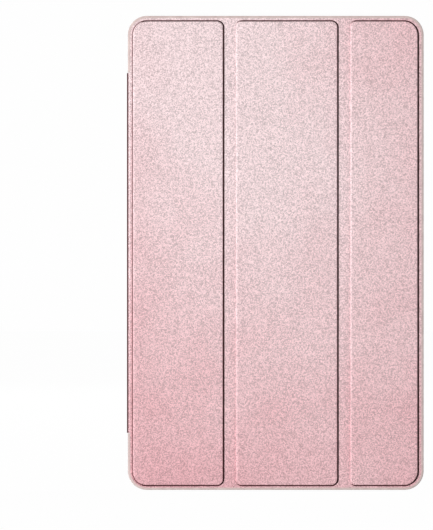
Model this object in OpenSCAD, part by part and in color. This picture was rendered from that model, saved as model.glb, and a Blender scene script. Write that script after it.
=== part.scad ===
// Tri-fold tablet case: a moulded back shell, and a leather cover of three boarded panels
// that hangs on a spine strip. The case stands upright on its bottom edge, front to -Y.
// The modules are drawn flat, with x to the right, y up the tablet and z out of the front,
// and stand() lifts them into the part's own frame.

/* [Tablet] */
// Width of the tablet, across the screen
tablet_w = 150; // [120:1:200]
// Height of the tablet, up the screen
tablet_h = 246; // [200:1:300]
// Thickness of the tablet
tablet_t = 7.5; // [6.5:0.1:10]
// Corner radius of the tablet
tablet_r = 8; // [6:0.5:12]
// Clearance all round the tablet
fit_gap = 0.3; // [0.2:0.05:0.6]

/* [Shell] */
// Thickness of the side walls
wall = 1.7; // [1.5:0.1:2.5]
// Thickness of the back
back_t = 1.6; // [1.4:0.1:2.5]
// Thickness of the lip that holds the tablet in
lip_t = 0.6; // [0.5:0.1:1.2]
// How far the lip reaches over the tablet
lip_over = 1.0; // [0.6:0.1:2]
// Radius of the rounded back edge
back_edge_r = 1.5; // [0.5:0.1:1.6]

/* [Openings in the shell] */
// Width of the camera window
camera_w = 26; // [16:1:40]
// Height of the camera window
camera_h = 13; // [10:1:24]
// Corner radius of the camera window
camera_r = 5; // [2.5:0.5:6]
// From the free side of the shell to the middle of the camera window
camera_x = 24; // [22:1:40]
// From the top of the shell to the middle of the camera window
camera_y = 17; // [14:1:40]
// Length of the opening for the power and volume buttons
button_l = 52; // [30:1:70]
// From the top of the shell to the middle of the button opening
button_y = 56; // [46:1:80]
// Height of the side openings, through the thickness of the case
port_h = 5.2; // [4.6:0.1:5.8]
// Width of the charging opening
charge_w = 15; // [12:0.5:22]
// Length of each speaker opening
speaker_l = 24; // [14:1:30]
// From the middle of the case to the middle of each speaker opening
speaker_x = 40; // [26:1:50]
// Diameter of the headphone opening
jack_d = 7; // [6:0.1:7.4]
// From the free side of the shell to the middle of the headphone opening
jack_x = 17; // [15:1:30]
// Diameter of the microphone hole
mic_d = 2; // [1.5:0.1:3]

/* [Skins] */
// Thickness of the leather
leather_t = 0.7; // [0.5:0.1:1.2]
// Thickness of the lining
lining_t = 0.4; // [0.3:0.1:0.8]
// Thickness of the panel boards
board_t = 1.2; // [1:0.1:2]
// Gap round each board and magnet inside its pocket
bond_gap = 0.05; // [0.03:0.01:0.1]

/* [Cover] */
// Gap between the shell and the closed cover
cover_gap = 0.3; // [0.2:0.05:0.6]
// How far the cover reaches past the shell on the spine side
hinge_side = 2; // [1.6:0.1:3]
// Rim beside the spine
rim_spine = 2.4; // [2.2:0.1:4]
// Rim at the free side
rim_free = 3; // [2:0.1:4]
// Rim at the top
rim_top = 2.6; // [2:0.1:4]
// Rim at the bottom
rim_bottom = 2.2; // [2:0.1:4]
// Width of each pressed fold between two panels
fold_w = 6.4; // [6:0.1:9]
// Share of the panels' width taken by panel 1, beside the spine
panel_1_share = 0.348; // [0.3:0.001:0.38]
// Share of the panels' width taken by panel 2, in the middle
panel_2_share = 0.391; // [0.3:0.001:0.42]
// Radius of the raised panels' outer corners
panel_outer_r = 7.5; // [4:0.5:9]
// Radius of the raised panels' corners beside a fold
panel_inner_r = 3.4; // [1:0.1:4]
// Gap between two bodies at a fold
fold_gap = 0.6; // [0.4:0.1:0.8]

/* [Spine] */
// How far the spine strip and the flap stop short of each end of the case
spine_end = 30; // [20:1:60]
// How far the spine stands out past the cover's edge
spine_out = 0.5; // [0.2:0.1:0.6]
// Thickness of the stiffener inside the spine
stiffener_t = 0.4; // [0.3:0.1:0.6]
// Room between a hinge line and the pieces that turn about it
crease_room = 1.0; // [0.8:0.1:1.2]
// Width of the flap that is bonded to the back of the shell
flap_w = 14; // [8:1:30]
// Clearance round the flap in its recess
flap_gap = 0.2; // [0.1:0.05:0.4]

/* [Magnets] */
// Length of the bar magnets
magnet_l = 20; // [10:1:24]
// Width of the bar magnets
magnet_w = 5; // [3:0.5:6]
// Distance between the middles of the bar magnets
magnet_pitch = 70; // [40:1:74]
// Diameter of the wake magnet
wake_d = 8; // [5:0.5:10]
// From the magnets' edge to the edge of the raised panel
magnet_inset = 3; // [2:0.5:5]
// From the top of the case to the middle of the wake magnet
wake_down = 40; // [20:1:60]

/* [Hidden] */
$fn = 72;
far = 40;

// The shell, from the tablet outwards
pocket_w = tablet_w + 2 * fit_gap;
pocket_h = tablet_h + 2 * fit_gap;
pocket_r = tablet_r + fit_gap;
shell_w = pocket_w + 2 * wall;
shell_h = pocket_h + 2 * wall;
shell_r = pocket_r + wall;
lip_z = back_t + tablet_t;
shell_d = lip_z + lip_t;
shell_x = hinge_side;
port_z = back_t + tablet_t / 2;

// The cover, from its lined inner face outwards
cover_w = hinge_side + shell_w;
cover_z = shell_d + cover_gap;
leather_z = cover_z + lining_t;
rim_z = leather_z + leather_t;
board_z = leather_z + board_t;
face_z = board_z + leather_t;

// The raised panels across the cover
panels_w = cover_w - rim_spine - rim_free - 2 * fold_w;
panel_1_x = rim_spine;
panel_1_w = panels_w * panel_1_share;
panel_2_x = panel_1_x + panel_1_w + fold_w;
panel_2_w = panels_w * panel_2_share;
panel_3_x = panel_2_x + panel_2_w + fold_w;
panel_3_w = panels_w - panel_1_w - panel_2_w;

// Each fold has two hinge lines: the first lets it close inwards, the second outwards
hinge_inset = 1.8;
crease_1_in = panel_2_x - fold_w + hinge_inset;
crease_1_out = panel_2_x - hinge_inset;
crease_2_in = panel_3_x - fold_w + hinge_inset;
crease_2_out = panel_3_x - hinge_inset;

// Where each body of the cover starts and ends across the width
panel_1_end = crease_1_in - fold_gap / 2;
crease_1_start = crease_1_in + fold_gap / 2;
crease_1_end = crease_1_out - fold_gap / 2;
panel_2_start = crease_1_out + fold_gap / 2;
panel_2_end = crease_2_in - fold_gap / 2;
crease_2_start = crease_2_in + fold_gap / 2;
crease_2_end = crease_2_out - fold_gap / 2;
panel_3_start = crease_2_out + fold_gap / 2;

// The spine strip stands between the flap's hinge line and the cover's
hinge_x = 0.2;
hinge_back_z = 0.4;
hinge_front_z = leather_z;
spine_z0 = hinge_back_z + crease_room;
spine_z1 = hinge_front_z - crease_room;
spine_y = spine_end;
spine_l = shell_h - 2 * spine_end;
spine_edge = 0.8;

// The flap lies in a recess in the back of the shell
flap_x = hinge_x + crease_room;

// Magnets fill holes in the boards
magnet_t = board_t - 4 * bond_gap;
magnet_z = leather_z + 2 * bond_gap;
magnet_1_x = panel_1_x + magnet_inset;
magnet_3_x = panel_3_x + panel_3_w - magnet_inset - magnet_w;
wake_x = panel_3_x + panel_3_w / 2;
wake_y = shell_h - wake_down;

// Lifts the flat drawing upright, centred on the space that the case stands in
module stand() {
    translate([-(cover_w - spine_out) / 2, face_z / 2, 0])
        rotate([90, 0, 0])
            children();
}

// A flat plate with its left and right corners rounded to their own radii
module plate(x, w, y, h, z, t, left_r, right_r) {
    translate([x, y, z])
        linear_extrude(t)
            union() {
                translate([left_r, 0])
                    square([w - left_r - right_r, h]);
                rounded_end(h, left_r);
                translate([w, h])
                    rotate(180)
                        rounded_end(h, right_r);
            }
}

// The end of a plate, with its two outer corners rounded
module rounded_end(h, r) {
    if (r > 0) {
        translate([0, r])
            square([r, h - 2 * r]);
        for (y = [r, h - r])
            translate([r, y])
                circle(r);
    }
}

// Section of the shell from its corner's centre out, the outer back edge rounded
module wall_section() {
    square([shell_r - back_edge_r, shell_d]);
    translate([0, back_edge_r])
        square([shell_r, shell_d - back_edge_r]);
    translate([shell_r - back_edge_r, back_edge_r])
        circle(back_edge_r);
}

// One straight side of the shell, l long, its outside to +x
module shell_side(l) {
    translate([0, l, 0])
        rotate([90, 0, 0])
            linear_extrude(l)
                wall_section();
}

// The shell before it is hollowed out
module shell_block() {
    inner_w = shell_w - 2 * shell_r;
    inner_h = shell_h - 2 * shell_r;
    translate([shell_r, shell_r, 0]) {
        cube([inner_w, inner_h, shell_d]);
        for (corner = [[inner_w, inner_h, 0], [0, inner_h, 90], [0, 0, 180], [inner_w, 0, 270]])
            translate([corner[0], corner[1], 0])
                rotate(corner[2])
                    rotate_extrude(angle = 90)
                        wall_section();
        translate([inner_w, 0, 0])
            shell_side(inner_h);
        translate([inner_w, inner_h, 0])
            rotate(90)
                shell_side(inner_w);
        translate([0, inner_h, 0])
            rotate(180)
                shell_side(inner_h);
        rotate(270)
            shell_side(inner_w);
    }
}

// A slot with round ends through the top or bottom wall, its middle at x
module end_slot(x, y, l) {
    slot_r = port_h / 2;
    for (side = [-1, 1])
        translate([x + side * (l / 2 - slot_r), y, port_z])
            rotate([90, 0, 0])
                cylinder(h = 4 * wall, r = slot_r, center = true);
    translate([x - l / 2 + slot_r, y - 2 * wall, port_z - slot_r])
        cube([l - port_h, 4 * wall, port_h]);
}

// A round hole through the top or bottom wall
module end_hole(x, y, d) {
    translate([x, y, port_z])
        rotate([90, 0, 0])
            cylinder(h = 4 * wall, d = d, center = true);
}

// The slot for the buttons, through the wall at the free side
module button_slot() {
    slot_r = port_h / 2;
    middle = shell_h - button_y;
    for (side = [-1, 1])
        translate([cover_w, middle + side * (button_l / 2 - slot_r), port_z])
            rotate([0, 90, 0])
                cylinder(h = 4 * wall, r = slot_r, center = true);
    translate([cover_w - 2 * wall, middle - button_l / 2 + slot_r, port_z - slot_r])
        cube([4 * wall, button_l - port_h, port_h]);
}

module back_shell() {
    color("whitesmoke")
        stand()
            difference() {
                translate([shell_x, 0, 0])
                    shell_block();
                plate(shell_x + wall, pocket_w, wall, pocket_h, back_t, tablet_t, pocket_r, pocket_r);
                plate(shell_x + wall + lip_over, pocket_w - 2 * lip_over, wall + lip_over,
                    pocket_h - 2 * lip_over, back_t, far, pocket_r - lip_over, pocket_r - lip_over);
                translate([-far, spine_y - flap_gap, -far])
                    cube([far + flap_x + flap_w + flap_gap, spine_l + 2 * flap_gap,
                        far + leather_t + flap_gap / 2]);
                plate(cover_w - camera_x - camera_w / 2, camera_w, shell_h - camera_y - camera_h / 2,
                    camera_h, -back_t, 3 * back_t, camera_r, camera_r);
                button_slot();
                end_slot(shell_x + shell_w / 2, 0, charge_w);
                for (y = [0, shell_h])
                    for (side = [-1, 1])
                        end_slot(shell_x + shell_w / 2 + side * speaker_x, y, speaker_l);
                end_hole(cover_w - jack_x, shell_h, jack_d);
                end_hole(shell_x + shell_w / 2, shell_h, mic_d);
            }
}

module hinge_flap() {
    color("pink")
        stand()
            plate(flap_x, flap_w, spine_y, spine_l, 0, leather_t, 0, 0);
}

// A strip of the spine, between two depths measured in from its outer face
module spine_strip(x, t, edge) {
    translate([x - spine_out, spine_y + edge, spine_z0 + edge])
        cube([t, spine_l - 2 * edge, spine_z1 - spine_z0 - 2 * edge]);
}

module spine_leather() {
    color("rosybrown")
        stand()
            difference() {
                spine_strip(0, leather_t + stiffener_t, 0);
                spine_strip(leather_t, 2 * stiffener_t, spine_edge);
            }
}

module spine_stiffener() {
    color("gray")
        stand()
            spine_strip(leather_t + bond_gap, stiffener_t - 2 * bond_gap, spine_edge + bond_gap);
}

module spine_lining() {
    color("darksalmon")
        stand()
            spine_strip(leather_t + stiffener_t, lining_t, 0);
}

// Cuts the cover back over the spine's length, where its skins bend down into the spine
module spine_notch() {
    translate([-far, spine_y - flap_gap, shell_d])
        cube([far + flap_x, spine_l + 2 * flap_gap, far]);
}

// The leather of a panel: a flat rim, and a raised face pressed over the board
module panel_leather(x, w, rim_x, rim_w, rim_left_r, rim_right_r, left_r, right_r) {
    y = rim_bottom;
    h = shell_h - rim_top - rim_bottom;
    difference() {
        union() {
            plate(rim_x, rim_w, 0, shell_h, leather_z, leather_t, rim_left_r, rim_right_r);
            plate(x, w, y, h, leather_z, board_t + leather_t, left_r, right_r);
        }
        board_block(x, w, left_r, right_r, 0);
    }
}

// The space of a board under its raised face, or with a gap the board itself
module board_block(x, w, left_r, right_r, gap) {
    edge = leather_t + gap;
    y = rim_bottom + edge;
    h = shell_h - rim_top - rim_bottom - 2 * edge;
    below = gap > 0 ? -gap : lining_t;
    plate(x + edge, w - 2 * edge, y, h, leather_z - below, board_t + below - gap,
        max(left_r - edge, 0), max(right_r - edge, 0));
}

// Bar magnets in a column, their left edges at x
module bar_magnets(x, gap) {
    for (step = [-1, 0, 1])
        translate([x - gap, shell_h / 2 + step * magnet_pitch - magnet_l / 2 - gap, magnet_z - 2 * gap])
            cube([magnet_w + 2 * gap, magnet_l + 2 * gap, magnet_t + 4 * gap]);
}

// The round magnet that wakes the tablet
module wake_disc(gap) {
    translate([wake_x, wake_y, magnet_z - 2 * gap])
        cylinder(h = magnet_t + 4 * gap, d = wake_d + 2 * gap);
}

module panel_1_leather() {
    color("pink")
        stand()
            difference() {
                panel_leather(panel_1_x, panel_1_w, 0, panel_1_end, shell_r, 0, panel_outer_r, panel_inner_r);
                spine_notch();
            }
}

module panel_1_board() {
    color("burlywood")
        stand()
            difference() {
                board_block(panel_1_x, panel_1_w, panel_outer_r, panel_inner_r, bond_gap);
                bar_magnets(magnet_1_x, bond_gap);
            }
}

module panel_1_magnets() {
    color("silver")
        stand()
            bar_magnets(magnet_1_x, 0);
}

module panel_1_lining() {
    color("darksalmon")
        stand()
            difference() {
                plate(0, panel_1_end, 0, shell_h, cover_z, lining_t, shell_r, 0);
                spine_notch();
            }
}

module crease_1_leather() {
    color("lightpink")
        stand()
            plate(crease_1_start, crease_1_end - crease_1_start, 0, shell_h, leather_z, leather_t, 0, 0);
}

module crease_1_lining() {
    color("darksalmon")
        stand()
            plate(crease_1_start, crease_1_end - crease_1_start, 0, shell_h, cover_z, lining_t, 0, 0);
}

module panel_2_leather() {
    color("pink")
        stand()
            panel_leather(panel_2_x, panel_2_w, panel_2_start, panel_2_end - panel_2_start, 0, 0,
                panel_inner_r, panel_inner_r);
}

module panel_2_board() {
    color("burlywood")
        stand()
            board_block(panel_2_x, panel_2_w, panel_inner_r, panel_inner_r, bond_gap);
}

module panel_2_lining() {
    color("darksalmon")
        stand()
            plate(panel_2_start, panel_2_end - panel_2_start, 0, shell_h, cover_z, lining_t, 0, 0);
}

module crease_2_leather() {
    color("lightpink")
        stand()
            plate(crease_2_start, crease_2_end - crease_2_start, 0, shell_h, leather_z, leather_t, 0, 0);
}

module crease_2_lining() {
    color("darksalmon")
        stand()
            plate(crease_2_start, crease_2_end - crease_2_start, 0, shell_h, cover_z, lining_t, 0, 0);
}

module panel_3_leather() {
    color("pink")
        stand()
            panel_leather(panel_3_x, panel_3_w, panel_3_start, cover_w - panel_3_start, 0, shell_r,
                panel_inner_r, panel_outer_r);
}

module panel_3_board() {
    color("burlywood")
        stand()
            difference() {
                board_block(panel_3_x, panel_3_w, panel_inner_r, panel_outer_r, bond_gap);
                bar_magnets(magnet_3_x, bond_gap);
                wake_disc(bond_gap);
            }
}

module panel_3_magnets() {
    color("silver")
        stand()
            bar_magnets(magnet_3_x, 0);
}

module wake_magnet() {
    color("silver")
        stand()
            wake_disc(0);
}

module panel_3_lining() {
    color("darksalmon")
        stand()
            plate(panel_3_start, cover_w - panel_3_start, 0, shell_h, cover_z, lining_t, 0, shell_r);
}

back_shell();
hinge_flap();
spine_leather();
spine_stiffener();
spine_lining();
panel_1_leather();
panel_1_board();
panel_1_magnets();
panel_1_lining();
crease_1_leather();
crease_1_lining();
panel_2_leather();
panel_2_board();
panel_2_lining();
crease_2_leather();
crease_2_lining();
panel_3_leather();
panel_3_board();
panel_3_magnets();
wake_magnet();
panel_3_lining();
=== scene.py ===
# Tri-fold tablet case: a pressed leather cover and its microfibre lining on a frosted shell.
import math

import bmesh
import bpy
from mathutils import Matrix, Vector


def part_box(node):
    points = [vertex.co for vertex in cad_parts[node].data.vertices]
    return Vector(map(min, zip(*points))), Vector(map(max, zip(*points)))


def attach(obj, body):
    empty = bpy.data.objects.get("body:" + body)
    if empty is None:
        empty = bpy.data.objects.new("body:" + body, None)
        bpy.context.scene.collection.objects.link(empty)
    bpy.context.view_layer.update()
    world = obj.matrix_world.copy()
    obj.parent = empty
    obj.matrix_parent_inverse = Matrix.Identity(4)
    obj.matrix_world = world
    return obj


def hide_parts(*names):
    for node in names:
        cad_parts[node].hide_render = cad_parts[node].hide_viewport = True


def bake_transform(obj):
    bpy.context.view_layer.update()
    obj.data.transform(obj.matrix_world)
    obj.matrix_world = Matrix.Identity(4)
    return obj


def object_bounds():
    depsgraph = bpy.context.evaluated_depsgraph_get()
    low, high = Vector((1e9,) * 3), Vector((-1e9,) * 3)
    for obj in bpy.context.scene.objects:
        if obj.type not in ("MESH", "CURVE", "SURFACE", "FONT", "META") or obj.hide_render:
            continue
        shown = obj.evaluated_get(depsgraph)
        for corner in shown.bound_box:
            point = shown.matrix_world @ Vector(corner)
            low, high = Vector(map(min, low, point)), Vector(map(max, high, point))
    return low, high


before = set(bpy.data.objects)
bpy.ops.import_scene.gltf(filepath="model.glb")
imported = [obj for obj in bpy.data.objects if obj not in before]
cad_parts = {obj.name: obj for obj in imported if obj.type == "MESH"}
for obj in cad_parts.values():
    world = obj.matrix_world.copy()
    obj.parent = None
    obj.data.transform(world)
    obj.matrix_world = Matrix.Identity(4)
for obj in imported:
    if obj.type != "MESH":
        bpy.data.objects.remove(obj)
cadLow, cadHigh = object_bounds()
mm = 0.001
print("frame loaded")


# The camera is level with the case and square to the cover, with a long lens.
cameraView = {
    "middleX": -31.0,      # the case stands right of the middle of the view
    "middleZ": 118.6,
    "distance": 2500,
    "height": 279.4,       # what the view takes in at the cover's face
    "sensor": 36.0,
    "clip": (50, 30000),
}


def makeCamera(settings, faceY):
    data = bpy.data.cameras.new("studioCamera")
    data.sensor_width = settings["sensor"]
    data.lens = settings["sensor"] * settings["distance"] / settings["height"]
    data.clip_start, data.clip_end = (reach * mm for reach in settings["clip"])
    camera = bpy.data.objects.new("studioCamera", data)
    camera.location = (settings["middleX"] * mm, faceY - settings["distance"] * mm,
                       settings["middleZ"] * mm)
    camera.rotation_euler = (math.radians(90), 0, 0)
    bpy.context.scene.collection.objects.link(camera)
    bpy.context.scene.camera = camera


makeCamera(cameraView, cadLow.y)


# The cover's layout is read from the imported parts.
def lowOf(node):
    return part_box(node)[0]


def highOf(node):
    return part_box(node)[1]


cover = {
    "left": lowOf("panel_1_lining").x,
    "right": highOf("panel_3_lining").x,
    "bottom": lowOf("panel_2_lining").z,
    "top": highOf("panel_2_lining").z,
    "inside": highOf("panel_2_lining").y,      # the lining's face, towards the tablet
    "bond": highOf("crease_1_leather").y,      # where the lining meets the leather
    "rim": lowOf("crease_1_leather").y,        # the leather's face on the rims and folds
    "face": cadLow.y,                          # the leather's face over the boards
    "corner": 10 * mm,                         # follows the shell's corners
    "raisedCorner": 7.5 * mm,                  # of a raised panel, at the outside of the cover
    "foldCorner": 3.4 * mm,                    # of a raised panel, beside a fold
    "boardGap": 0.05 * mm,
}
cover["skin"] = cover["bond"] - cover["rim"]

# A fold bends about two lines: near the panel before it, and near the one after it.
folds = []
for before, middle, after in (("panel_1", "crease_1", "panel_2"), ("panel_2", "crease_2", "panel_3")):
    folds.append({
        "bodies": (before, middle, after),
        "start": highOf(before + "_lining").x,
        "middleStart": lowOf(middle + "_lining").x,
        "seam": (lowOf(middle + "_lining").x + highOf(middle + "_lining").x) / 2,
        "middleEnd": highOf(middle + "_lining").x,
        "end": lowOf(after + "_lining").x,
    })


def raisedOutline(board, radii):
    low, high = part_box(board)
    grow = cover["skin"] + cover["boardGap"]
    return {"left": low.x - grow, "right": high.x + grow, "bottom": low.z - grow,
            "top": high.z + grow, "radii": radii}


wide, tight = cover["raisedCorner"], cover["foldCorner"]
raisedPanels = [
    raisedOutline("panel_1_board", (wide, tight, tight, wide)),
    raisedOutline("panel_2_board", (tight, tight, tight, tight)),
    raisedOutline("panel_3_board", (tight, wide, wide, tight)),
]
print("layout read from the frame")


def hexColour(text):
    channels = [int(text[i:i + 2], 16) / 255 for i in (1, 3, 5)]
    return tuple(c / 12.92 if c <= 0.04045 else ((c + 0.055) / 1.055) ** 2.4 for c in channels) + (1.0,)


def perMetre(size):
    return 1 / (size * mm)      # a pattern's scale, from the size of one repeat in mm


def addNode(tree, kind, inputs=None, **settings):
    made = tree.nodes.new(kind)
    for name, value in settings.items():
        setattr(made, name, value)
    for name, value in (inputs or {}).items():
        if isinstance(value, bpy.types.NodeSocket):
            tree.links.new(value, made.inputs[name])
        else:
            made.inputs[name].default_value = value
    return made


def newMaterial(name):
    material = bpy.data.materials.new(name)
    material.use_nodes = True
    tree = material.node_tree
    place = addNode(tree, "ShaderNodeTexCoord").outputs["Object"]
    return material, tree, tree.nodes["Principled BSDF"], place


def setTones(ramp, tones):
    for element, (position, colour) in zip(ramp.color_ramp.elements, tones):
        element.position = position
        element.color = hexColour(colour)


def setSurface(shader, values):
    for name, value in values.items():
        shader.inputs[name].default_value = value


# Pearl PU leather: a rose film with pearl pigment, rolled with a fine grain. The pigment gives a speckle
# of light and dark points, and its tone wanders in soft clouds. A pale pool towards the top is painted
# sheen.
pearlLeather = {
    "speckle": 0.5,          # really about 0.2 mm; drawn coarser so that it shows
    "speckleDepth": 0.3,
    "grain": 0.55,
    "grainHeight": 0.036,
    "grainBlend": 0.6,       # how softly the pebbles of the grain run into each other
    "fineShare": 0.5,        # of the finer grain on top of the pebbles
    "cloud": 30,
    "cloudShare": 0.3,
    "sheenPoolCentre": (-21, 0, 206),      # where the painted sheen is palest, and how far it spreads
    "sheenPoolTilt": -25,
    "sheenPoolSpread": (205, 1000, 335),
    "paleAndSheenFrom": 0.37,       # below this the film is plain rose
    "rose": "#DBA6AC",
    "paleAndSheen": "#E8D1D3",
    "flakeTones": (0.2, 0.8),          # of the dullest and the brightest flakes
    "roughness": (0.44, 0.58),
    "surface": {"IOR": 1.5, "Coat Weight": 0.25, "Coat Roughness": 0.42, "Coat IOR": 1.7},
}


def makePearlLeather(settings):
    material, tree, shader, place = newMaterial("rosePearlPuLeather")
    flakes = addNode(tree, "ShaderNodeTexVoronoi", {"Vector": place, "Scale": perMetre(settings["speckle"])})
    flake = addNode(tree, "ShaderNodeRGBToBW", {"Color": flakes.outputs["Color"]})
    # painted sheen: a pale pool of colour towards the top, standing in for the light there
    sheenPoolPlace = addNode(tree, "ShaderNodeMapping", {
        "Vector": place, "Location": [c * mm for c in settings["sheenPoolCentre"]],
        "Rotation": (0, math.radians(settings["sheenPoolTilt"]), 0),
        "Scale": [s * mm for s in settings["sheenPoolSpread"]]}, vector_type="TEXTURE")
    paintedSheenPool = addNode(tree, "ShaderNodeTexGradient", {"Vector": sheenPoolPlace.outputs["Vector"]},
                   gradient_type="SPHERICAL")
    cloud = addNode(tree, "ShaderNodeTexNoise", {"Vector": place, "Scale": perMetre(settings["cloud"]),
                                                 "Detail": 2.0})
    cloudAndSheen = addNode(tree, "ShaderNodeMath", {0: cloud.outputs["Fac"], 1: settings["cloudShare"],
                                             2: paintedSheenPool.outputs["Fac"]}, operation="MULTIPLY_ADD")
    paleAndSheen = addNode(tree, "ShaderNodeMapRange", {"Value": cloudAndSheen.outputs["Value"],
                                                 "From Min": settings["paleAndSheenFrom"], "From Max": 1.0})
    tint = addNode(tree, "ShaderNodeMix", {"Factor": paleAndSheen.outputs["Result"]}, data_type="RGBA")
    tint.inputs[6].default_value = hexColour(settings["rose"])
    tint.inputs[7].default_value = hexColour(settings["paleAndSheen"])
    depth = settings["speckleDepth"]
    dullest, brightest = settings["flakeTones"]
    shine = addNode(tree, "ShaderNodeMapRange", {"Value": flake.outputs["Val"], "From Min": dullest,
                                                 "From Max": brightest, "To Min": 1 - depth,
                                                 "To Max": 1 + depth})
    speckled = addNode(tree, "ShaderNodeVectorMath", {0: tint.outputs[2], 1: shine.outputs["Result"]},
                       operation="MULTIPLY")
    tree.links.new(speckled.outputs["Vector"], shader.inputs["Base Color"])
    pebbles = addNode(tree, "ShaderNodeTexVoronoi", {"Vector": place, "Scale": perMetre(settings["grain"]),
                                                     "Smoothness": settings["grainBlend"]},
                      feature="SMOOTH_F1")
    fine = addNode(tree, "ShaderNodeTexNoise", {"Vector": place, "Scale": perMetre(settings["grain"] / 2),
                                                "Detail": 3.0})
    height = addNode(tree, "ShaderNodeMath", {0: fine.outputs["Fac"], 1: settings["fineShare"],
                                              2: pebbles.outputs["Distance"]}, operation="MULTIPLY_ADD")
    bump = addNode(tree, "ShaderNodeBump", {"Height": height.outputs["Value"], "Strength": 1.0,
                                            "Distance": settings["grainHeight"] * mm})
    tree.links.new(bump.outputs["Normal"], shader.inputs["Normal"])
    smoothest, roughest = settings["roughness"]
    rough = addNode(tree, "ShaderNodeMapRange", {"Value": fine.outputs["Fac"], "To Min": smoothest,
                                                 "To Max": roughest})
    tree.links.new(rough.outputs["Result"], shader.inputs["Roughness"])
    setSurface(shader, settings["surface"])
    return material


# Edge paint: the cut edge of the leather sealed with a matt taupe acrylic, brushed on by
# hand, so its tone wanders a little and it dulls the light along the rim.
brushedPaint = {
    "stroke": 3.0,
    "strokeHeight": 0.03,
    "tones": ((0.3, "#C9B3B0"), (0.7, "#D9C5C1")),
    "surface": {"Roughness": 0.7, "IOR": 1.49},
}


def makeEdgePaint(settings):
    material, tree, shader, place = newMaterial("taupeEdgePaint")
    strokes = addNode(tree, "ShaderNodeTexNoise", {"Vector": place, "Scale": perMetre(settings["stroke"]),
                                                   "Detail": 3.0})
    ramp = addNode(tree, "ShaderNodeValToRGB", {"Fac": strokes.outputs["Fac"]})
    setTones(ramp, settings["tones"])
    tree.links.new(ramp.outputs["Color"], shader.inputs["Base Color"])
    bump = addNode(tree, "ShaderNodeBump", {"Height": strokes.outputs["Fac"],
                                            "Distance": settings["strokeHeight"] * mm})
    tree.links.new(bump.outputs["Normal"], shader.inputs["Normal"])
    setSurface(shader, settings["surface"])
    return material


# Pressed line and painted shade: a dark wine colour on the bottom of each groove and on the walls turned
# away from the light, painted in for the shade there; a little of it is the hot tool's glaze.
pressLineAndShade = {
    "patch": 1.5,
    "tones": ((0.3, "#431A1E"), (0.7, "#5E2C31")),
    "surface": {"Roughness": 0.75, "IOR": 1.5, "Specular IOR Level": 0.25},
}


def makePressLineShade(settings):
    material, tree, shader, place = newMaterial("pressedLineAndPaintedShade")
    patches = addNode(tree, "ShaderNodeTexNoise", {"Vector": place, "Scale": perMetre(settings["patch"]),
                                                   "Detail": 2.0})
    ramp = addNode(tree, "ShaderNodeValToRGB", {"Fac": patches.outputs["Fac"]})
    setTones(ramp, settings["tones"])
    tree.links.new(ramp.outputs["Color"], shader.inputs["Base Color"])
    setSurface(shader, settings["surface"])
    return material


# Microfibre: split polyester brushed to a short nap, matt and soft, with a pale bloom at
# grazing angles and small streaks where the nap lies different ways.
microfibreNap = {
    "fibre": 0.45,
    "fibreShare": 0.65,
    "fibreHeight": 0.05,
    "streak": 9.0,
    "streakShare": 0.35,
    "lengthwise": 0.3,       # fibres and streaks run up the sheet, drawn out by this
    "tones": ((0.3, "#B98A8F"), (0.7, "#D9B1B5")),
    "surface": {"Roughness": 0.95, "IOR": 1.5, "Sheen Weight": 0.5, "Sheen Roughness": 0.5,
                "Sheen Tint": hexColour("#F4DADB")},
}


def makeMicrofibre(settings):
    material, tree, shader, place = newMaterial("roseMicrofibre")
    along = addNode(tree, "ShaderNodeMapping", {"Vector": place,
                                                "Scale": (1.0, 1.0, settings["lengthwise"])})
    fibres = addNode(tree, "ShaderNodeTexNoise", {"Vector": along.outputs["Vector"], "Detail": 4.0,
                                                  "Scale": perMetre(settings["fibre"])})
    streaks = addNode(tree, "ShaderNodeTexNoise", {"Vector": along.outputs["Vector"], "Detail": 3.0,
                                                   "Scale": perMetre(settings["streak"])})
    tone = addNode(tree, "ShaderNodeMath", {0: streaks.outputs["Fac"], 1: settings["streakShare"]},
                   operation="MULTIPLY")
    mixed = addNode(tree, "ShaderNodeMath", {0: fibres.outputs["Fac"], 1: settings["fibreShare"],
                                             2: tone.outputs["Value"]}, operation="MULTIPLY_ADD")
    ramp = addNode(tree, "ShaderNodeValToRGB", {"Fac": mixed.outputs["Value"]})
    setTones(ramp, settings["tones"])
    tree.links.new(ramp.outputs["Color"], shader.inputs["Base Color"])
    bump = addNode(tree, "ShaderNodeBump", {"Height": fibres.outputs["Fac"], "Strength": 1.0,
                                            "Distance": settings["fibreHeight"] * mm})
    tree.links.new(bump.outputs["Normal"], shader.inputs["Normal"])
    setSurface(shader, settings["surface"])
    return material


# Frosted polycarbonate, injection moulded against a spark-eroded tool: milky, lets a little
# light through, and the fine matt texture spreads its highlights.
frostedShell = {
    "texture": 0.35,
    "textureHeight": 0.012,
    "cloud": 40,
    "tones": ((0.3, "#F1E9E8"), (0.7, "#F7F1F0")),
    "roughness": (0.38, 0.52),
    "surface": {"IOR": 1.585, "Transmission Weight": 0.2, "Subsurface Weight": 0.2,
                "Subsurface Radius": (1.0, 0.8, 0.8), "Subsurface Scale": 1.5 * mm},
}


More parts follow.
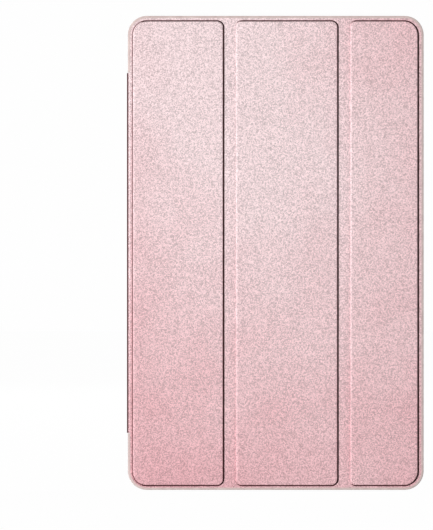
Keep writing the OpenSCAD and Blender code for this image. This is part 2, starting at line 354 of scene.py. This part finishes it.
def makeFrostedPolycarbonate(settings):
    material, tree, shader, place = newMaterial("frostedPolycarbonate")
    cloud = addNode(tree, "ShaderNodeTexNoise", {"Vector": place, "Scale": perMetre(settings["cloud"]),
                                                 "Detail": 2.0})
    ramp = addNode(tree, "ShaderNodeValToRGB", {"Fac": cloud.outputs["Fac"]})
    setTones(ramp, settings["tones"])
    tree.links.new(ramp.outputs["Color"], shader.inputs["Base Color"])
    pits = addNode(tree, "ShaderNodeTexNoise", {"Vector": place, "Scale": perMetre(settings["texture"]),
                                                "Detail": 3.0})
    bump = addNode(tree, "ShaderNodeBump", {"Height": pits.outputs["Fac"], "Strength": 1.0,
                                            "Distance": settings["textureHeight"] * mm})
    tree.links.new(bump.outputs["Normal"], shader.inputs["Normal"])
    smoothest, roughest = settings["roughness"]
    rough = addNode(tree, "ShaderNodeMapRange", {"Value": pits.outputs["Fac"], "To Min": smoothest,
                                                 "To Max": roughest})
    tree.links.new(rough.outputs["Result"], shader.inputs["Roughness"])
    setSurface(shader, settings["surface"])
    return material


# Grey board: pressed waste paper, dull grey with darker fibres in it.
pressedPaper = {
    "fibre": 0.8,
    "fibreHeight": 0.03,
    "tones": ((0.35, "#7F7A72"), (0.65, "#A39D93")),
    "surface": {"Roughness": 0.95},
}


def makeGreyBoard(settings):
    material, tree, shader, place = newMaterial("greyBoard")
    fibres = addNode(tree, "ShaderNodeTexNoise", {"Vector": place, "Scale": perMetre(settings["fibre"]),
                                                  "Detail": 5.0})
    ramp = addNode(tree, "ShaderNodeValToRGB", {"Fac": fibres.outputs["Fac"]})
    setTones(ramp, settings["tones"])
    tree.links.new(ramp.outputs["Color"], shader.inputs["Base Color"])
    bump = addNode(tree, "ShaderNodeBump", {"Height": fibres.outputs["Fac"],
                                            "Distance": settings["fibreHeight"] * mm})
    tree.links.new(bump.outputs["Normal"], shader.inputs["Normal"])
    setSurface(shader, settings["surface"])
    return material


# Nickel plate on a sintered magnet: bright warm grey with a faint tumbled texture.
tumbledPlate = {
    "tumble": 0.6,
    "tones": ((0.3, "#BDB7AD"), (0.7, "#D2CCC2")),
    "roughness": (0.2, 0.34),
    "surface": {"Metallic": 1.0},
}


def makeNickelPlate(settings):
    material, tree, shader, place = newMaterial("nickelPlate")
    tumble = addNode(tree, "ShaderNodeTexNoise", {"Vector": place, "Scale": perMetre(settings["tumble"]),
                                                  "Detail": 3.0})
    ramp = addNode(tree, "ShaderNodeValToRGB", {"Fac": tumble.outputs["Fac"]})
    setTones(ramp, settings["tones"])
    tree.links.new(ramp.outputs["Color"], shader.inputs["Base Color"])
    smoothest, roughest = settings["roughness"]
    rough = addNode(tree, "ShaderNodeMapRange", {"Value": tumble.outputs["Fac"], "To Min": smoothest,
                                                 "To Max": roughest})
    tree.links.new(rough.outputs["Result"], shader.inputs["Roughness"])
    setSurface(shader, settings["surface"])
    return material


# Slit polypropylene strip: dark, waxy, with fine lines along its length from the slitting.
slitStrip = {
    "line": 0.4,
    "lineHeight": 0.01,
    "lengthwise": 0.02,
    "tones": ((0.3, "#2A2A2C"), (0.7, "#38383B")),
    "surface": {"Roughness": 0.45, "IOR": 1.49},
}


def makePolypropylene(settings):
    material, tree, shader, place = newMaterial("slitPolypropylene")
    along = addNode(tree, "ShaderNodeMapping", {"Vector": place,
                                                "Scale": (1.0, 1.0, settings["lengthwise"])})
    lines = addNode(tree, "ShaderNodeTexNoise", {"Vector": along.outputs["Vector"], "Detail": 2.0,
                                                 "Scale": perMetre(settings["line"])})
    ramp = addNode(tree, "ShaderNodeValToRGB", {"Fac": lines.outputs["Fac"]})
    setTones(ramp, settings["tones"])
    tree.links.new(ramp.outputs["Color"], shader.inputs["Base Color"])
    bump = addNode(tree, "ShaderNodeBump", {"Height": lines.outputs["Fac"],
                                            "Distance": settings["lineHeight"] * mm})
    tree.links.new(bump.outputs["Normal"], shader.inputs["Normal"])
    setSurface(shader, settings["surface"])
    return material


leather = makePearlLeather(pearlLeather)
pressLineShade = makePressLineShade(pressLineAndShade)
edgePaint = makeEdgePaint(brushedPaint)
microfibre = makeMicrofibre(microfibreNap)
print("materials made")


# How near counts as level with a face, as on a line, and as one point of a cut.
within = {"level": 0.002 * mm, "line": 0.001 * mm, "cut": 0.0001 * mm}


def spread(low, high, count):
    # evenly spaced places, both ends among them
    return [low + (high - low) * i / count for i in range(count + 1)]


def roundedFace(bm, outline, grow, depth, radii, segments=12):
    # a flat face looking out of the front, with its corners rounded
    left, right = outline["left"] - grow, outline["right"] + grow
    bottom, top = outline["bottom"] - grow, outline["top"] + grow
    corners = ((left, bottom), (right, bottom), (right, top), (left, top))
    verts = [bm.verts.new((x, depth, z)) for x, z in corners]
    face = bm.faces.new(verts)
    for vert, radius in zip(verts, radii):
        made = bmesh.ops.bevel(bm, geom=[vert], offset=radius + grow, offset_type="OFFSET",
                               segments=segments, profile=0.5, affect="VERTICES", material=-1)
        face = made["verts"][0].link_faces[0]
    face.normal_update()
    return face


def stepFace(bm, face, steps):
    # each step goes in from the edge and then out of the face, in mm; some change the material
    for inward, out, *material in steps:
        ring = bmesh.ops.inset_region(bm, faces=[face], use_boundary=True, use_even_offset=True,
                                      thickness=inward * mm, depth=out * mm)["faces"]
        for side in ring:
            side.material_index = material[0] if material else 0


def roundOver(inward, out, count):
    # steps over a quarter of an ellipse, from square to the face round to level with it
    turns = [math.radians(90) * i / count for i in range(count + 1)]
    return [(inward * (math.cos(a) - math.cos(b)), out * (math.sin(b) - math.sin(a)))
            for a, b in zip(turns, turns[1:])]


def fillLevel(bm, depth):
    # closes the flat between all the outlines that lie open at one depth
    edges = [e for e in bm.edges
             if e.is_boundary and all(abs(v.co.y - depth) < within["level"] for v in e.verts)]
    bmesh.ops.triangle_fill(bm, use_beauty=True, edges=edges)


def cutAcross(bm, x, outward=0):
    # a cut across the sheet; what lies outward of it is taken off and the cut is closed
    bmesh.ops.bisect_plane(bm, geom=bm.verts[:] + bm.edges[:] + bm.faces[:], dist=within["cut"],
                           plane_co=(x, 0, 0), plane_no=(outward or 1, 0, 0), clear_outer=bool(outward))
    edges = [e for e in bm.edges if e.is_boundary]
    if edges:
        bmesh.ops.holes_fill(bm, edges=edges, sides=0)


def block(bm, low, high):
    made = bmesh.ops.create_cube(bm, size=1.0)
    bmesh.ops.scale(bm, vec=high - low, verts=made["verts"])
    bmesh.ops.translate(bm, vec=(low + high) / 2, verts=made["verts"])


def makeObject(name, bm):
    mesh = bpy.data.meshes.new(name)
    bm.to_mesh(mesh)
    bm.free()
    made = bpy.data.objects.new(name, mesh)
    bpy.context.scene.collection.objects.link(made)
    return made


def addPiece(name, bm, materials, sharpFrom=35):
    bmesh.ops.recalc_face_normals(bm, faces=bm.faces)
    for face in bm.faces:
        face.smooth = True
    for edge in bm.edges:
        edge.smooth = edge.calc_face_angle(0.0) < math.radians(sharpFrom)
    piece = makeObject(name, bm)
    for material in materials:
        piece.data.materials.append(material)
    return piece


def cutAway(bm, low, high):
    # takes a block out of a closed form
    blockForm = bmesh.new()
    block(blockForm, low, high)
    form, cutter = makeObject("form", bm), makeObject("cutter", blockForm)
    cut = form.modifiers.new("cut", "BOOLEAN")
    cut.operation = "DIFFERENCE"
    cut.solver = "EXACT"
    cut.object = cutter
    bpy.context.view_layer.update()
    result = bmesh.new()
    result.from_mesh(form.evaluated_get(bpy.context.evaluated_depsgraph_get()).to_mesh())
    for shape in (form, cutter):
        bpy.data.objects.remove(shape)
    return result


# The leather is one sheet, pressed over the boards. Each pair is a step inwards and outwards, in mm.
pressed = {
    "rimRound": 1.2,          # the painted outer edge, inwards and through the skin
    "rimDrop": 0.32,
    "rimSteps": 7,
    "support": 0.12,          # level margin beside each rounding
    "grooveOut": (0.32, -0.16),
    "line": (0.34, -0.04),    # the pressed line at the bottom of the groove, painted dark as shade
    "wallFoot": (0.12, 0.36),
    "wall": (0.26, 0.68),
    "facingLight": 0.4,       # a wall that leans this much towards the light, on the spine's side, gets no painted shade
    "drawn": 0.15,            # the cover is drawn this far to the right over its boards
    "foldGroove": 0.5,        # the groove is this much as deep where a panel follows a fold
    "grooveReach": 1.0,       # a groove lies no further than this from its panel's edge
    "crown": ((0.06, 0.14), (0.09, 0.10), (0.12, 0.07), (0.15, 0.04), (0.16, 0.01)),
    "foldBulge": 0.08,        # the leather stands a little proud along each fold
    "bulgeCuts": 12,
}


def pressSteps(settings):
    level = (settings["support"], 0)
    # the line and the walls of the groove get the dark painted shade
    lineAndShadeSteps = [(*settings[part], 1) for part in ("line", "wallFoot", "wall")]
    return [level, settings["grooveOut"], *lineAndShadeSteps, *settings["crown"], level]


def leaveLitSidePlain(bm, lean):
    # the walls that face the light, towards the spine, are left without painted shade
    for face in bm.faces:
        if face.material_index == 1 and face.normal.x < -lean:
            face.material_index = 0


def easeGroove(bm, raised, settings):
    # beside a fold the groove is shallow, so that the leather can bend there, and plain: that side faces the
    # light and gets no painted shade
    reach = settings["grooveReach"] * mm
    full = raised["left"] + cover["foldCorner"]
    for vert in bm.verts:
        if raised["left"] - reach < vert.co.x < full and vert.co.y > cover["rim"]:
            ease = min(1, (full - vert.co.x) / cover["foldCorner"])
            depth = 1 + (settings["foldGroove"] - 1) * ease
            vert.co.y = cover["rim"] + (vert.co.y - cover["rim"]) * depth
    for face in bm.faces:
        if face.material_index == 1 and abs(face.calc_center_median().x - raised["left"]) < reach:
            face.material_index = 0


def swell(bm, low, high, level, height):
    # lifts what lies at a level between two lines across the sheet, in one smooth wave
    for vert in bm.verts:
        if low < vert.co.x < high and abs(vert.co.y - level) < within["level"]:
            turn = 2 * math.pi * (vert.co.x - low) / (high - low)
            vert.co.y -= height * mm * (1 - math.cos(turn)) / 2


def foldCuts(fold, atBend=12, between=3):
    # close cuts over the two bends, wide ones between
    marks = [fold[part] for part in ("start", "middleStart", "seam", "middleEnd", "end")]
    cuts = []
    for start, end, count in zip(marks, marks[1:], (atBend, between, between, atBend)):
        cuts += spread(start, end, count)[:-1]
    return cuts + [fold["end"]]


def makeLeatherSheet(settings):
    bm = bmesh.new()
    corners = [cover["corner"]] * 4
    rim = roundedFace(bm, cover, 0, cover["bond"], corners)
    side = cover["skin"] / mm - settings["rimDrop"]
    turned = [(*step, 2)
              for step in roundOver(settings["rimRound"], settings["rimDrop"], settings["rimSteps"])]
    stepFace(bm, rim, [(0, side, 2), *turned, (settings["support"], 0)])
    bmesh.ops.delete(bm, geom=[rim], context="FACES_ONLY")
    margin = (settings["support"] + settings["grooveOut"][0] + settings["line"][0]) * mm
    drawn = settings["drawn"] * mm
    for raised in raisedPanels:
        outer = dict(raised, left=raised["left"] + drawn, right=raised["right"] + drawn)
        stepFace(bm, roundedFace(bm, outer, margin, cover["rim"], raised["radii"]), pressSteps(settings))
        leaveLitSidePlain(bm, settings["facingLight"])
        if raised["left"] > cover["left"] + cover["corner"]:
            easeGroove(bm, raised, settings)
        pocket = roundedFace(bm, raised, -cover["skin"], cover["bond"], raised["radii"])
        stepFace(bm, pocket, [(0, (cover["rim"] - cover["face"]) / mm)])
    fillLevel(bm, cover["rim"])
    fillLevel(bm, cover["bond"])
    bmesh.ops.recalc_face_normals(bm, faces=bm.faces)
    for fold, before, after in zip(folds, raisedPanels, raisedPanels[1:]):
        low, high = before["right"] + margin + drawn, after["left"] - margin + drawn
        for x in foldCuts(fold) + spread(low, high, settings["bulgeCuts"]):
            cutAcross(bm, x)
        swell(bm, low, high, cover["rim"], settings["foldBulge"])
    return bm


# The lining is one sheet too, with a pressed line that follows the cover's edge.
lined = {
    "edgeRound": 0.2,
    "edgeSteps": 4,
    "borderAt": 1.5,
    "borderLine": ((0.15, -0.08), (0.25, 0), (0.15, 0.08), (0.15, 0)),
    "foldLine": 0.16,         # pressed in along both sides of a fold, over this width
    "foldLineWidth": 1.0,
    "foldLineCuts": 8,
}


def makeLiningSheet(settings):
    bm = bmesh.new()
    sheet = roundedFace(bm, cover, 0, cover["bond"], [cover["corner"]] * 4)
    bmesh.ops.reverse_faces(bm, faces=[sheet])
    thickness = (cover["inside"] - cover["bond"]) / mm
    edge = settings["edgeRound"]
    stepFace(bm, sheet, [(0, thickness - edge), *roundOver(edge, edge, settings["edgeSteps"]),
                         (settings["borderAt"], 0), *settings["borderLine"]])
    fillLevel(bm, cover["bond"])
    bmesh.ops.recalc_face_normals(bm, faces=bm.faces)
    width = settings["foldLineWidth"] * mm
    for fold, before, after in zip(folds, raisedPanels, raisedPanels[1:]):
        lines = (before["right"], after["left"] - width)
        cuts = foldCuts(fold)
        for low in lines:
            cuts += spread(low, low + width, settings["foldLineCuts"])
        for x in cuts:
            cutAcross(bm, x)
        for low in lines:
            swell(bm, low, low + width, cover["inside"], settings["foldLine"])
    return bm


# The spine is a stiffened strip down the side, and the skins that bend into it.
spineLow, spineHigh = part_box("spine_leather")
flapLow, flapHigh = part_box("hinge_flap")
innerLow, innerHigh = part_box("spine_lining")
spine = {
    "stripBorder": ((0.35, 0), (0.12, -0.06), (0.15, 0), (0.12, 0.06)),
    "pocketEdge": 0.8,         # the leather round the stiffener
    "pocketDepth": 0.4,
    "endRound": 0.25,
    "skinDepth": 0.05,         # what lies this near a bend's outside belongs to its surface
    "shadeTurn": 58,            # degrees of the front bend whose outside is painted dark as shade, for the shaded flank by the spine
    "notchGap": 0.2,
    "flapCorner": 2.0,
    "liningDrop": 0.2,
}


def isFace(item):
    return isinstance(item, bmesh.types.BMFace)


def isVert(item):
    return isinstance(item, bmesh.types.BMVert)


def spunBend(bm, left, right, depth, turn, centreX, steps=18):
    # a skin's section swept round a quarter turn; returns the last section
    corners = ((left, spineLow.z), (right, spineLow.z), (right, spineHigh.z), (left, spineHigh.z))
    face = bm.faces.new([bm.verts.new((x, depth, z)) for x, z in corners])
    made = bmesh.ops.spin(bm, geom=[face] + list(face.edges) + list(face.verts), axis=(0, 0, 1),
                          cent=(centreX, depth, 0), angle=math.radians(turn), steps=steps,
                          use_merge=False, use_duplicate=False)
    return made["geom_last"]


def pushOut(bm, section, distance):
    # carries on from a section, straight to the right
    face = [item for item in section if isFace(item)]
    made = bmesh.ops.extrude_face_region(bm, geom=face)
    bmesh.ops.delete(bm, geom=face, context="FACES_ONLY")
    bmesh.ops.translate(bm, vec=(distance, 0, 0), verts=[v for v in made["geom"] if isVert(v)])


def roundEnds(bm, isOuter):
    # rounds the edges where an outer surface meets the strip's two ends
    ends = (spineLow.z, spineHigh.z)
    edges = [e for e in bm.edges if all(isOuter(v.co) for v in e.verts)
             and any(all(abs(v.co.z - z) < within["line"] for v in e.verts) for z in ends)]
    bmesh.ops.bevel(bm, geom=edges, offset=spine["endRound"] * mm, offset_type="OFFSET", segments=3,
                    profile=0.5, affect="EDGES", material=-1)


def makeSpineStrip():
    bm = bmesh.new()
    block(bm, spineLow, spineHigh)
    sides = {round(face.normal.x): face for face in bm.faces}
    stepFace(bm, sides[1], [(spine["pocketEdge"], 0), (0, -spine["pocketDepth"])])
    stepFace(bm, sides[-1], spine["stripBorder"])
    return addPiece("spineStrip", bm, [leather])


def makeFrontBend():
    bm = bmesh.new()
    centre = Vector((flapLow.x, spineLow.y, 0))
    outside = flapLow.x - spineLow.x - spine["skinDepth"] * mm
    spunBend(bm, spineLow.x, spineLow.x + cover["skin"], spineLow.y, 90, centre.x)

    def fromCentre(co):
        return math.hypot(co.x - centre.x, co.y - centre.y)

    # the outside of the bend's first turn is painted dark, as shade
    for face in bm.faces:
        middle = face.calc_center_median()
        turned = math.degrees(math.atan2(centre.y - middle.y, centre.x - middle.x))
        if fromCentre(middle) > outside and turned < spine["shadeTurn"]:
            face.material_index = 1
    roundEnds(bm, lambda co: fromCentre(co) > outside)
    return addPiece("spineFrontBend", bm, [leather, pressLineShade])


def makeFlap():
    bm = bmesh.new()
    last = spunBend(bm, spineLow.x, spineLow.x + cover["skin"], spineHigh.y, -90, flapLow.x)
    squeeze = (flapHigh.y - spineHigh.y) / (flapLow.x - spineLow.x)
    for vert in bm.verts:
        vert.co.y = spineHigh.y + (vert.co.y - spineHigh.y) * squeeze
    pushOut(bm, last, flapHigh.x - flapLow.x)
    corners = [e for e in bm.edges if all(abs(v.co.x - flapHigh.x) < within["line"] for v in e.verts)
               and abs(e.verts[0].co.z - e.verts[1].co.z) < within["line"]]
    bmesh.ops.bevel(bm, geom=corners, offset=spine["flapCorner"] * mm, offset_type="OFFSET", segments=6,
                    profile=0.5, affect="EDGES", material=-1)
    return addPiece("hingeFlap", bm, [leather])


def makeInnerStrip():
    bm = bmesh.new()
    block(bm, innerLow, innerHigh)
    sides = {round(face.normal.x): face for face in bm.faces}
    stepFace(bm, sides[1], spine["stripBorder"])
    return addPiece("spineInnerStrip", bm, [microfibre])


def makeInnerFrontBend():
    bm = bmesh.new()
    spunBend(bm, innerLow.x, innerHigh.x, spineLow.y, 90, flapLow.x)
    lift = cover["inside"] - (spineLow.y - (flapLow.x - innerHigh.x))
    for vert in bm.verts:
        turned = math.atan2(spineLow.y - vert.co.y, flapLow.x - vert.co.x)
        vert.co.y += lift * math.sin(turned)
    return addPiece("liningFrontBend", bm, [microfibre])


def makeInnerBackBend():
    bm = bmesh.new()
    last = spunBend(bm, innerLow.x, innerHigh.x, spineHigh.y, -90, flapLow.x)
    for vert in bm.verts:
        turned = math.atan2(vert.co.y - spineHigh.y, flapLow.x - vert.co.x)
        vert.co.y += spine["liningDrop"] * mm * math.sin(turned)
    pushOut(bm, last, lowOf("back_shell").x - flapLow.x)
    return addPiece("liningBackBend", bm, [microfibre])


def cutStrips(sheet, kind, materials):
    # cuts a sheet at its folds, makes room for the spine, and hangs each panel strip on its body; the fold
    # strips stay in place
    clear, gap = 1 * mm, spine["notchGap"] * mm
    notchLow = Vector((cover["left"] - clear, cover["face"] - clear, spineLow.z - gap))
    notchHigh = Vector((flapLow.x, cover["inside"] + clear, spineHigh.z + gap))
    edges = [cover["left"] - clear]
    for fold in folds:
        edges += [fold["start"], fold["seam"], fold["end"]]
    edges.append(cover["right"] + clear)
    names = ("Panel1", "Fold1Near", "Fold1Far", "Panel2", "Fold2Near", "Fold2Far", "Panel3")
    pieces = {}
    for name, left, right in zip(names, edges, edges[1:]):
        bm = sheet.copy()
        cutAcross(bm, left, -1)
        cutAcross(bm, right, 1)
        if name == "Panel1":
            bm = cutAway(bm, notchLow, notchHigh)
        pieces[name] = addPiece(kind + name, bm, materials)
    sheet.free()
    for number in (1, 2, 3):
        panel, body = pieces["Panel%d" % number], "panel_%d" % number
        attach(panel, body)
        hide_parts(body + "_" + kind)
    for number, fold in enumerate(folds, 1):
        before, middle, after = fold["bodies"]
        near, far = pieces["Fold%dNear" % number], pieces["Fold%dFar" % number]
        for piece in (near, far):
            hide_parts(middle + "_" + kind)
        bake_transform(near)
        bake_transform(far)


cutStrips(makeLeatherSheet(pressed), "leather", [leather, pressLineShade, edgePaint])
print("leather sheet pressed and cut")
cutStrips(makeLiningSheet(lined), "lining", [microfibre])
print("lining sheet cut")

strip = makeSpineStrip()
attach(strip, "spine")
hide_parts("spine_leather")
innerStrip = makeInnerStrip()
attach(innerStrip, "spine")
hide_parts("spine_lining")

# the leather bends about its inner face
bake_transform(makeFrontBend())
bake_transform(makeInnerFrontBend())
flap = makeFlap()
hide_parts("hinge_flap")
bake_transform(flap)
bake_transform(makeInnerBackBend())
print("spine and its bends made")


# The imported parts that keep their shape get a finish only.
keptParts = {
    "back_shell": makeFrostedPolycarbonate(frostedShell),
    "spine_stiffener": makePolypropylene(slitStrip),
}
greyBoard, nickel = makeGreyBoard(pressedPaper), makeNickelPlate(tumbledPlate)
for number in (1, 2, 3):
    keptParts["panel_%d_board" % number] = greyBoard
for node in ("panel_1_magnets", "panel_3_magnets", "wake_magnet"):
    keptParts[node] = nickel
for node, material in keptParts.items():
    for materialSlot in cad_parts[node].material_slots:
        materialSlot.material = material
print("kept parts finished")


# The studio has a pale floor and its main light from the left.
studio = {
    "background": 0.992,      # as the camera sees it
    "ambient": 0.16,          # the light that it gives
    "floorRadius": 6.0,
    "floorGlow": 0.984,
    "floorTone": 0.012,
}
# places and sizes in metres; each light points at the case's middle line, at the height of its aim
lights = {
    "keyLeft": {"place": (-2.1, -2.15, 0.16), "size": (0.36, 0.36), "watts": 96, "aim": 0.11},
    "fillRight": {"place": (1.7, -1.9, 0.7), "size": (1.0, 1.0), "watts": 5, "aim": 0.12},
    "pearlSheen": {"place": (-0.2, -0.75, 0.42), "size": (0.3, 0.2), "watts": 0.5, "aim": 0.2},
    "backRight": {"place": (1.6, 1.2, 0.8), "size": (0.9, 0.9), "watts": 36, "aim": 0.12},
    "backMiddle": {"place": (-0.5, 1.9, 0.9), "size": (0.9, 0.9), "watts": 16, "aim": 0.12},
}


def addLight(name, settings):
    data = bpy.data.lights.new(name, "AREA")
    data.shape = "RECTANGLE"
    data.size, data.size_y = settings["size"]
    data.energy = settings["watts"]
    light = bpy.data.objects.new(name, data)
    light.location = settings["place"]
    aim = Vector((0, 0, settings["aim"])) - light.location
    light.rotation_euler = aim.to_track_quat("-Z", "Y").to_euler()
    bpy.context.scene.collection.objects.link(light)


def makeWorld(settings):
    world = bpy.data.worlds.new("studioWorld")
    bpy.context.scene.world = world
    world.use_nodes = True
    tree = world.node_tree
    tree.nodes.clear()
    path = addNode(tree, "ShaderNodeLightPath")
    lighting = addNode(tree, "ShaderNodeBackground", {"Strength": settings["ambient"]})
    seen = addNode(tree, "ShaderNodeBackground", {"Strength": settings["background"]})
    for background in (lighting, seen):
        background.inputs["Color"].default_value = (1, 1, 1, 1)
    mixed = addNode(tree, "ShaderNodeMixShader", {0: path.outputs["Is Camera Ray"],
                                                  1: lighting.outputs["Background"],
                                                  2: seen.outputs["Background"]})
    addNode(tree, "ShaderNodeOutputWorld", {"Surface": mixed.outputs["Shader"]})


def makeFloor(settings):
    material = bpy.data.materials.new("paleFloor")
    material.use_nodes = True
    tree = material.node_tree
    tree.nodes.clear()
    path = addNode(tree, "ShaderNodeLightPath")
    tone = settings["floorTone"]
    paint = addNode(tree, "ShaderNodeBsdfDiffuse", {"Color": (tone, tone, tone, 1)})
    strength = addNode(tree, "ShaderNodeMath", {0: path.outputs["Is Camera Ray"],
                                                1: settings["floorGlow"] - settings["ambient"],
                                                2: settings["ambient"]}, operation="MULTIPLY_ADD")
    glow = addNode(tree, "ShaderNodeEmission", {"Strength": strength.outputs["Value"]})
    both = addNode(tree, "ShaderNodeAddShader", {0: paint.outputs["BSDF"], 1: glow.outputs["Emission"]})
    addNode(tree, "ShaderNodeOutputMaterial", {"Surface": both.outputs["Shader"]})
    bm = bmesh.new()
    bmesh.ops.create_circle(bm, cap_ends=True, radius=settings["floorRadius"], segments=96)
    floor = makeObject("paleFloor", bm)
    floor.data.materials.append(material)


makeWorld(studio)
makeFloor(studio)
for name, settings in lights.items():
    addLight(name, settings)
bpy.context.scene.view_settings.view_transform = "Standard"
print("studio set up")
